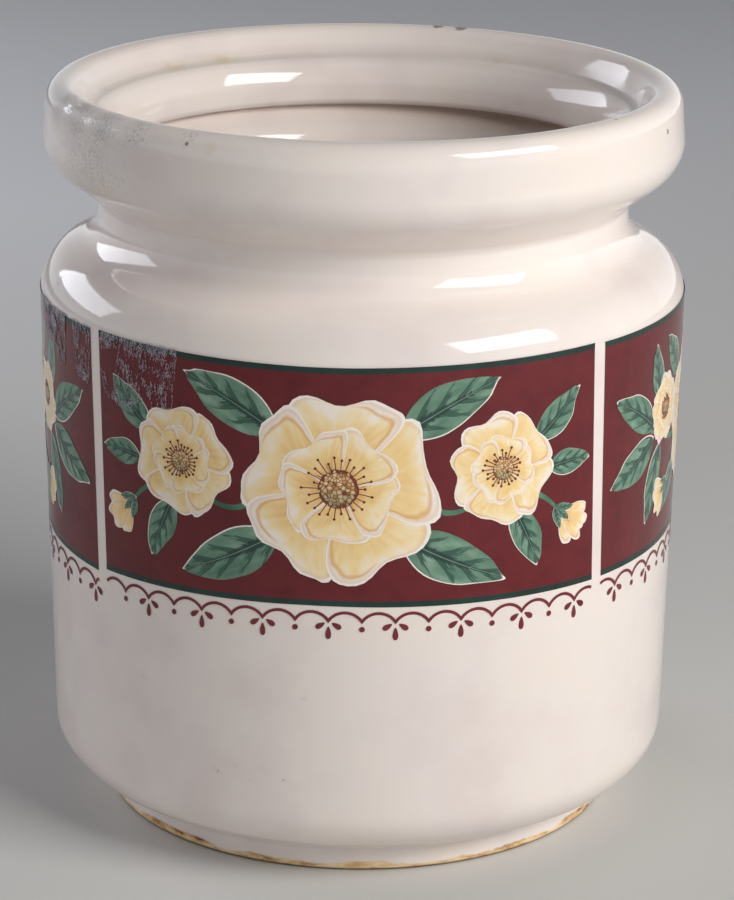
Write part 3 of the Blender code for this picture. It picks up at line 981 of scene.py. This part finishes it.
def printed_enamel(name, dark, light, roughness):
    """Screen-printed overglaze enamel of one ink, fired on.

    Gives a deep even colour with faint cloudiness from the ink's thickness, pale pinholes and a soft gloss.
    """
    material, tree = new_material(name)
    place = add(tree, "TexCoord").outputs["Object"]
    ink = add(
        tree, "TexNoise", {"Scale": 1 / INK_CLOUD_SIZE, "Detail": 5.0, "Roughness": 0.6}, {"Vector": place},
    )
    colour = add(tree, "ValToRGB", {"stops": [(0.3, dark), (0.7, light)]}, {"Fac": ink})
    hole = scattered_spots(tree, place, PINHOLE_SPACING, PINHOLE_RADIUS, PINHOLE_FREE_SHARE)
    hole = add(tree, "Math", {"operation": "MULTIPLY", 1: PINHOLE_COVER}, {0: hole})
    colour = add(tree, "Mix", {"data_type": "RGBA", 7: srgb("B58E8C")}, {0: hole, 6: colour}).outputs[2]
    relief = add(tree, "Math", {"operation": "MULTIPLY", 1: INK_DEPTH}, {0: ink})
    close_surface(tree, colour, roughness, relief)
    return material


def disc_coordinates(tree):
    """Across, along, distance from the middle, and the piece's own number, on a petal, leaf or button."""
    disc = add(tree, "UVMap", {"uv_map": "disc"})
    spot = add(
        tree, "VectorMath", {"operation": "MULTIPLY_ADD", 1: (2.0, 2.0, 0.0), 2: (-1.0, -1.0, 0.0)},
        {0: disc},
    )
    split = add(tree, "SeparateXYZ", links={"Vector": spot})
    middle = add(tree, "VectorMath", {"operation": "LENGTH"}, {0: spot})
    number = add(tree, "Attribute", {"attribute_name": "motif"})
    return split.outputs["X"], split.outputs["Y"], middle.outputs["Value"], number.outputs["Fac"]


def petal_enamel():
    """Screen-printed petals in butter yellow, brushed by hand in the artwork.

    Gives amber feet, cream rims, a turned-over edge, brush streaks and brown hatching at the foot.
    """
    material, tree = new_material("yellow_petal_enamel")
    x, y, middle, number = disc_coordinates(tree)
    up = add(tree, "Math", {"operation": "ADD", 1: STROKE_FAN_DEPTH}, {0: y})
    angle = add(tree, "Math", {"operation": "ARCTAN2"}, {0: x, 1: up})
    ray = add(tree, "CombineXYZ", links={"X": x, "Y": up})
    reach = add(tree, "VectorMath", {"operation": "LENGTH"}, {0: ray}).outputs["Value"]
    brush = add(tree, "CombineXYZ", links={"X": angle, "Y": reach, "Z": number})
    spot = add(tree, "CombineXYZ", links={"X": x, "Y": y, "Z": number})

    long_strokes = add(tree, "Mapping", {"Scale": LONG_STROKES}, {"Vector": brush})
    streaks = add(tree, "TexNoise", {"Scale": 1.0, "Detail": 3.0}, {"Vector": long_strokes})
    clouds = add(tree, "TexNoise", {"Scale": PETAL_CLOUD_SCALE, "Detail": 2.0}, {"Vector": spot})
    tone = add(tree, "Math", {"operation": "MULTIPLY_ADD", 1: 0.45, 2: -0.68}, {0: reach})
    tone = add(tree, "Math", {"operation": "MULTIPLY_ADD", 1: 0.75}, {0: clouds, 2: tone})
    tone = add(tree, "Math", {"operation": "MULTIPLY_ADD", 1: 0.45}, {0: streaks, 2: tone})
    colour = add(
        tree, "ValToRGB",
        {"stops": [
            (0.15, "DFAE68"), (0.38, "EDC686"), (0.58, "F3D59A"), (0.72, "F5E0B6"), (0.86, "F5EADC"),
        ]},
        {"Fac": tone},
    )

    # The turned-over edge along one side, cream beyond an amber line
    side = add(tree, "MapRange", {"From Min": 0.05, "From Max": 0.25}, {"Value": x})
    wavy = add(tree, "Math", {"operation": "MULTIPLY_ADD", 1: 0.25}, {0: clouds, 2: middle})
    beyond = add(tree, "MapRange", {"From Min": 0.96, "From Max": 1.01}, {"Value": wavy})
    edge = add(tree, "Math", {"operation": "MULTIPLY"}, {0: side, 1: beyond})
    line = add(tree, "MapRange", {"From Min": 0.90, "From Max": 0.96}, {"Value": wavy})
    line = add(tree, "Math", {"operation": "SUBTRACT"}, {0: line, 1: beyond})
    line = add(tree, "Math", {"operation": "MULTIPLY"}, {0: line, 1: side})
    line = add(tree, "Math", {"operation": "MULTIPLY", 1: 0.8}, {0: line})

    # Brown hatching that runs up from the foot
    fine_strokes = add(tree, "Mapping", {"Scale": FINE_STROKES}, {"Vector": brush})
    hatch = add(tree, "TexNoise", {"Scale": 1.0, "Detail": 1.0}, {"Vector": fine_strokes})
    stroke = add(tree, "MapRange", {"From Min": 0.50, "From Max": 0.55}, {"Value": hatch})
    broad = add(tree, "Mapping", {"Scale": STROKE_STOPS}, {"Vector": brush})
    stop = add(tree, "TexNoise", {"Scale": 1.0, "Detail": 2.0}, {"Vector": broad})
    stop = add(tree, "Math", {"operation": "MULTIPLY_ADD", 1: 2.2, 2: -0.35}, {0: stop})
    within = add(tree, "Math", {"operation": "SUBTRACT"}, {0: stop, 1: reach})
    within = add(tree, "MapRange", {"From Max": 0.2}, {"Value": within})
    mark = add(tree, "Math", {"operation": "MULTIPLY"}, {0: stroke, 1: within})
    mark = add(tree, "Math", {"operation": "MULTIPLY", 1: 0.85}, {0: mark})

    # Amber shade inside a thin pale outline
    shade = add(tree, "MapRange", {"From Min": 0.86, "From Max": 0.94, "To Max": 0.35}, {"Value": middle})
    outline = add(tree, "MapRange", {"From Min": 0.945, "From Max": 0.965}, {"Value": middle})
    for amount, code in (
        (edge, "F4EBE4"), (line, "DDA866"), (mark, "6B3430"), (shade, "D9A45F"), (outline, "F5EEE8"),
    ):
        colour = add(tree, "Mix", {"data_type": "RGBA", 7: srgb(code)}, {0: amount, 6: colour}).outputs[2]
    relief = add(tree, "Math", {"operation": "MULTIPLY", 1: INK_DEPTH}, {0: streaks})
    close_surface(tree, colour, PRINT_ROUGHNESS, relief)
    return material


def leaf_enamel():
    """Screen-printed leaves in sage green, hatched in two darker greens.

    Gives a dark midrib, dark wedges between pale side veins, and a thin pale outline on one side.
    """
    material, tree = new_material("green_leaf_enamel")
    x, y, middle, number = disc_coordinates(tree)
    width = add(tree, "Math", {"operation": "ABSOLUTE"}, {0: x})
    spot = add(tree, "CombineXYZ", links={"X": x, "Y": y, "Z": number})
    clouds = add(tree, "TexNoise", {"Scale": LEAF_CLOUD_SCALE, "Detail": 3.0}, {"Vector": spot})
    colour = add(
        tree, "ValToRGB", {"stops": [(0.35, "557A67"), (0.55, "6C8F7A"), (0.75, "8DAA95")]},
        {"Fac": clouds},
    )

    # Side veins: bands that climb from the midrib to the edge, one row for each side
    climb = add(tree, "Math", {"operation": "MULTIPLY", 1: -1.5}, {0: width})
    climb = add(tree, "Math", {"operation": "MULTIPLY_ADD", 1: 2.2}, {0: y, 2: climb})
    climb = add(tree, "Math", {"operation": "MULTIPLY_ADD", 1: 0.55}, {0: clouds, 2: climb})
    climb = add(tree, "Math", {"operation": "ADD"}, {0: climb, 1: number})
    along = add(tree, "Math", {"operation": "ADD"}, {0: width, 1: y})
    vein = add(tree, "CombineXYZ", links={"X": climb, "Y": along, "Z": x})
    strokes = add(tree, "Mapping", {"Scale": LEAF_STROKES}, {"Vector": vein})
    hatch = add(tree, "TexNoise", {"Scale": 1.0, "Detail": 4.0}, {"Vector": strokes})
    band = add(tree, "Math", {"operation": "FRACT"}, {0: climb})
    band = add(tree, "Math", {"operation": "MULTIPLY_ADD", 1: 0.75}, {0: width, 2: band})
    band = add(tree, "Math", {"operation": "MULTIPLY_ADD", 1: -1.3}, {0: hatch, 2: band})
    dark = add(tree, "MapRange", {"From Min": 0.10, "From Max": -0.06, "To Max": 0.85}, {"Value": band})
    rib = add(tree, "Math", {"operation": "MULTIPLY_ADD", 1: 0.11, 2: -0.13}, {0: y})
    rib = add(tree, "Math", {"operation": "ADD"}, {0: rib, 1: width})
    rib = add(tree, "Math", {"operation": "MULTIPLY_ADD", 1: -0.35}, {0: hatch, 2: rib})
    midrib = add(tree, "MapRange", {"From Min": -0.13, "From Max": -0.20, "To Max": 0.9}, {"Value": rib})
    pale_rib = add(
        tree, "MapRange", {"From Min": 0.022, "From Max": 0.010, "To Max": 0.5}, {"Value": width},
    )

    lit_side = add(tree, "MapRange", {"From Min": -0.25, "From Max": 0.0}, {"Value": x})
    outline = add(tree, "MapRange", {"From Min": 0.94, "From Max": 0.96}, {"Value": middle})
    outline = add(tree, "Math", {"operation": "MULTIPLY"}, {0: outline, 1: lit_side})
    for amount, code in (
        (dark, "2C4F42"), (midrib, "1F3B39"), (pale_rib, "A9C2A8"), (outline, "EFEAE0"),
    ):
        colour = add(tree, "Mix", {"data_type": "RGBA", 7: srgb(code)}, {0: amount, 6: colour}).outputs[2]
    relief = add(tree, "Math", {"operation": "MULTIPLY", 1: INK_DEPTH}, {0: hatch})
    close_surface(tree, colour, PRINT_ROUGHNESS, relief)
    return material


def button_enamel():
    """Printed seed button of a rose: pale round seeds outlined in brown, greener towards the bottom."""
    material, tree = new_material("seed_button_enamel")
    x, y, middle, number = disc_coordinates(tree)
    spot = add(tree, "CombineXYZ", links={"X": x, "Y": y, "Z": number})
    seeds = add(tree, "TexVoronoi", {"Scale": SEED_SCALE, "Randomness": SEED_RANDOMNESS}, {"Vector": spot})
    gaps = add(
        tree, "TexVoronoi",
        {"feature": "DISTANCE_TO_EDGE", "Scale": SEED_SCALE, "Randomness": SEED_RANDOMNESS},
        {"Vector": spot},
    )
    colour = add(
        tree, "ValToRGB", {"stops": [(0.0, "F4E6CC"), (0.3, "E4C594"), (0.6, "BF915C")]},
        {"Fac": seeds.outputs["Distance"]},
    )
    low = add(tree, "MapRange", {"From Min": 0.2, "From Max": -0.9, "To Max": 0.65}, {"Value": y})
    rim = add(tree, "MapRange", {"From Min": 0.80, "From Max": 0.98, "To Max": 0.16}, {"Value": middle})
    seam = add(tree, "Math", {"operation": "SUBTRACT"}, {0: gaps.outputs["Distance"], 1: rim})
    seam = add(tree, "MapRange", {"From Min": 0.075, "From Max": 0.035}, {"Value": seam})
    for amount, code in ((low, "5F8A66"), (seam, "743B2C")):
        colour = add(tree, "Mix", {"data_type": "RGBA", 7: srgb(code)}, {0: amount, 6: colour}).outputs[2]
    relief = add(tree, "Math", {"operation": "MULTIPLY", 1: INK_DEPTH}, {0: seeds.outputs["Distance"]})
    close_surface(tree, colour, PRINT_ROUGHNESS, relief)
    return material


def paper_fibre():
    """Dried label paper and gum, torn: matt, pale to middle grey and slightly lilac."""
    material, tree = new_material("label_paper_fibre")
    place = add(tree, "TexCoord").outputs["Object"]
    dirt_and_contact_shadow = add(tree, "TexNoise", {"Scale": 1 / FIBRE_CLOUD_SIZE, "Detail": 2.0}, {"Vector": place})
    colour = add(tree, "ValToRGB", {"stops": [(0.35, "928E96"), (0.65, "C6C4CC")]}, {"Fac": dirt_and_contact_shadow})
    relief = add(tree, "Math", {"operation": "MULTIPLY", 1: INK_DEPTH}, {0: dirt_and_contact_shadow})
    close_surface(tree, colour, PAPER_ROUGHNESS, relief)
    return material


def make_camera():
    """Camera at the photograph's viewing angle."""
    data = bpy.data.cameras.new("camera")
    data.sensor_width = SENSOR_WIDTH
    data.lens = FOCAL_PIXELS * SENSOR_WIDTH / PICTURE_HEIGHT
    data.shift_x = (PICTURE_WIDTH / 2 - CENTRE_PIXEL[0]) / PICTURE_HEIGHT
    data.shift_y = (CENTRE_PIXEL[1] - PICTURE_HEIGHT / 2) / PICTURE_HEIGHT
    camera = bpy.data.objects.new("camera", data)
    bpy.context.scene.collection.objects.link(camera)
    turn = Matrix.Rotation(CAMERA_TURN, 4, "Z")
    place = Matrix.Translation((0.0, -CAMERA_DISTANCE, CAMERA_HEIGHT))
    tilt = Matrix.Rotation(pi / 2 - CAMERA_PITCH, 4, "X") @ Matrix.Rotation(CAMERA_ROLL, 4, "Z")
    camera.matrix_world = turn @ place @ tilt
    bpy.context.scene.camera = camera


def softbox(name, azimuth, elevation, width, height, power, colour):
    """Area light aimed at the middle of the canister from an angle round it and above the floor."""
    data = bpy.data.lights.new(name, "AREA")
    data.shape = "RECTANGLE"
    data.size = width
    data.size_y = height
    data.energy = power
    data.color = srgb(colour)[:3]
    lamp = bpy.data.objects.new(name, data)
    bpy.context.scene.collection.objects.link(lamp)
    away = Vector((sin(azimuth) * cos(elevation), -cos(azimuth) * cos(elevation), sin(elevation)))
    place = Matrix.Translation(Vector((0.0, 0.0, HEIGHT / 2)) + away * LAMP_DISTANCE)
    aim = away.to_track_quat("Z", "Y").to_matrix().to_4x4()
    lamp.matrix_world = place @ aim


def make_stage():
    """A plain pale floor, wide enough to fill the picture, with a painted pool of light that makes it
    palest behind the canister.
    """
    shape = bmesh.new()
    bmesh.ops.create_grid(shape, x_segments=1, y_segments=1, size=FLOOR_SIZE)
    material, tree = new_material("matte_studio_paper")
    place = add(tree, "TexCoord").outputs["Object"]
    # Painted light: the paper turns brighter towards a place behind the canister
    gap = add(tree, "VectorMath", {"operation": "DISTANCE", 1: LIGHT_POOL_PLACE}, {0: place})
    painted_light_pool = add(
        tree, "MapRange", {"From Min": LIGHT_POOL_REACH, "From Max": LIGHT_POOL_REACH / 2},
        {"Value": gap.outputs["Value"]},
    )
    colour = add(tree, "Mix", {"data_type": "RGBA", 6: srgb("D1D0CD"), 7: srgb("E8E8EB")}, {0: painted_light_pool})
    shader = add(tree, "BsdfPrincipled", {"Roughness": FLOOR_ROUGHNESS}, {"Base Color": colour.outputs[2]})
    add(tree, "OutputMaterial", links={"Surface": shader})
    mesh = bpy.data.meshes.new("floor")
    shape.to_mesh(mesh)
    shape.free()
    mesh.materials.append(material)
    floor = bpy.data.objects.new("floor", mesh)
    bpy.context.scene.collection.objects.link(floor)


def make_world():
    """Fill light from the studio's pale walls, which fades to a dark ceiling."""
    world = bpy.data.worlds.new("studio")
    bpy.context.scene.world = world
    world.use_nodes = True
    world.node_tree.nodes.clear()
    tree = world.node_tree
    way = add(tree, "TexCoord")
    split = add(tree, "SeparateXYZ", links={"Vector": way.outputs["Generated"]})
    fade = add(
        tree, "MapRange", {"From Max": CEILING_START, "To Min": WALL_LIGHT, "To Max": CEILING_LIGHT},
        {"Value": split.outputs["Z"]},
    )
    sky = add(tree, "Background", {"Color": srgb("F2F4F8")}, {"Strength": fade.outputs["Result"]})
    add(tree, "OutputWorld", links={"Surface": sky})


# Designs in millimetres and degrees from the middle of a panel, for its right half: roses by centre,
# radius and turn, buds by foot, direction and length, leaves by foot, direction, length, width and bend,
# stems by their two ends with the points that pull them between
WIDE_DESIGN = {
    "roses": [(0.0, 0.0, 22.5, 14.0), (38.5, 3.0, 13.0, 40.0)],
    "buds": [(53.5, -9.5, -38.0, 10.0)],
    "leaves": [
        (14.0, 12.5, 27.0, 26.0, 11.0, 0.10),
        (14.0, -11.5, -25.0, 27.0, 11.5, -0.12),
        (41.0, -6.5, -66.0, 16.5, 7.5, 0.10),
        (47.0, 8.5, 42.0, 16.5, 7.5, -0.12),
        (50.5, 1.5, 3.0, 12.5, 6.2, 0.10),
    ],
    "stems": [
        [(20.0, -4.0), (26.0, -9.0), (30.0, -5.0), (38.0, -2.0)],
        [(45.0, -3.0), (48.0, -4.5), (51.0, -6.0), (53.5, -9.5)],
    ],
}
NARROW_DESIGN = {
    "roses": [(0.0, 0.0, 18.5, 50.0), (25.5, 5.5, 8.5, 20.0)],
    "buds": [(23.0, -14.5, -20.0, 9.5)],
    "leaves": [
        (12.0, 11.0, 42.0, 18.0, 8.0, -0.10),
        (33.0, 2.5, 29.0, 21.0, 8.5, 0.12),
        (33.0, 0.0, -22.0, 22.0, 9.0, -0.12),
        (28.5, -2.5, -68.0, 20.0, 8.0, 0.10),
        (29.0, 8.0, 74.0, 15.0, 7.0, -0.10),
        (13.0, -11.0, -38.0, 16.0, 7.0, 0.10),
    ],
    "stems": [
        [(15.0, -3.0), (22.0, -5.0), (27.0, 1.0), (35.0, 1.5)],
        [(14.0, -8.0), (17.0, -10.0), (19.0, -12.5), (23.0, -14.5)],
    ],
}
# How each wet transfer was pulled, in millimetres: start, end, moves of that end's top and of its foot
FRONT_PULLS = [(0.0, 64.4, (-0.5, 0.7), (2.2, -0.7)), (-8.0, -64.4, (-0.45, 0.4), (0.0, -1.45))]
RIGHT_PULLS = [(0.0, -56.0, (-0.45, 0.3), (1.95, -0.6)), (-56.0, 56.0, (0.0, 1.3), (0.0, 0.0))]
LEFT_PULLS = [(-56.0, 56.0, (-0.4, 0.0), (0.0, -2.7))]
# Panels: name, middle, arc, pulls, lace cut before its first point, whether drops come first, design
PANELS = [
    ("front", 0.0, WIDE_PANEL_ARC, FRONT_PULLS, 7.2 * MM, False, WIDE_DESIGN),
    ("right", pi / 2, NARROW_PANEL_ARC, RIGHT_PULLS, 5.9 * MM, True, NARROW_DESIGN),
    ("back", pi, WIDE_PANEL_ARC, [], 5.4 * MM, False, WIDE_DESIGN),
    ("left", -pi / 2, NARROW_PANEL_ARC, LEFT_PULLS, 0.4 * MM, True, NARROW_DESIGN),
]

bpy.context.scene.view_settings.view_transform = "Standard"
make_camera()
make_world()
make_stage()
for lamp in LAMPS:
    softbox(*lamp)

maroon = printed_enamel("maroon_enamel", "5B1219", "6B1B22", GROUND_ROUGHNESS)
lace_red = printed_enamel("lace_red_enamel", "6C1D25", "7E2C33", PRINT_ROUGHNESS)
green = printed_enamel("dark_green_enamel", "0F2925", "1B3A34", GROUND_ROUGHNESS)
enamels = {
    "petals": petal_enamel(),
    "leaves": leaf_enamel(),
    "stems": printed_enamel("green_stem_enamel", "355F4C", "5C8A70", PRINT_ROUGHNESS),
    "buttons": button_enamel(),
    "stamens": printed_enamel("brown_line_enamel", "5F2A27", "7A3B30", PRINT_ROUGHNESS),
}
glazed_body(cream_glaze())
for side, middle, arc, pulls, first_point, drops_first, design in PANELS:
    half = (arc * DRUM_RADIUS - PANEL_SPACING) / 2
    ground_panel(side + "_ground", side + "_print", middle, half, pulls, maroon)
    edge_lines(side + "_edge_lines", middle, half, pulls, green)
    lace(side + "_lace", middle, half, pulls, first_point, drops_first, lace_red)
    flower_design(side, middle, pulls, design, enamels)
fibre = paper_fibre()
for name, middle, corners, density in LABELS:
    label_residue(name, middle, corners, density, fibre)
